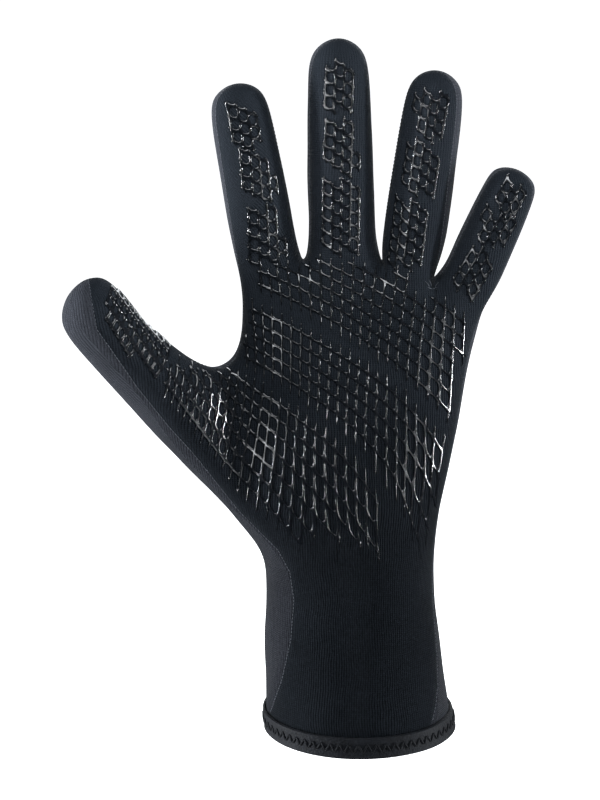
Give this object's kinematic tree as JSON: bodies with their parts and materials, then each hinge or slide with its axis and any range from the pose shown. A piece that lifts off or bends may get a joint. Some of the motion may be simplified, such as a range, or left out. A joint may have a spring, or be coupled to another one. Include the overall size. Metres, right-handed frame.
{
  "type": "diving glove",
  "caption": "Left-hand neoprene diving glove with spread fingers, a long cuff, a knit palm with raised rubber grip prints and a bound cuff edge.",
  "frame": {"origin": "centre of the cuff's opening, in the plane of the hem's lower edge", "axes": "+Z from the cuff towards the fingertips; the palm side faces -Y; +X towards the little finger, so the thumb points to -X"},
  "size_m": [0.1822, 0.0688, 0.2848],
  "materials": {
    "palm_knit": "black fine knit over neoprene",
    "back_knit": "dark grey fine knit over neoprene",
    "binding": "black woven binding with zigzag stitching",
    "grip_rubber": "black printed rubber, semi-gloss"
  },
  "bodies": {
    "root": {"palm_panel": "palm_knit", "back_panel": "back_knit", "cuff_hem": "binding", "grip_palm": "grip_rubber", "grip_heel": "grip_rubber", "grip_thumb_tip": "grip_rubber", "grip_index_base": "grip_rubber", "grip_index_middle": "grip_rubber", "grip_index_tip": "grip_rubber", "grip_middle_base": "grip_rubber", "grip_middle_middle": "grip_rubber", "grip_middle_tip": "grip_rubber", "grip_ring_base": "grip_rubber", "grip_ring_middle": "grip_rubber", "grip_ring_tip": "grip_rubber", "grip_little_base": "grip_rubber", "grip_little_middle": "grip_rubber", "grip_little_tip": "grip_rubber"}
  },
  "joints": []
}
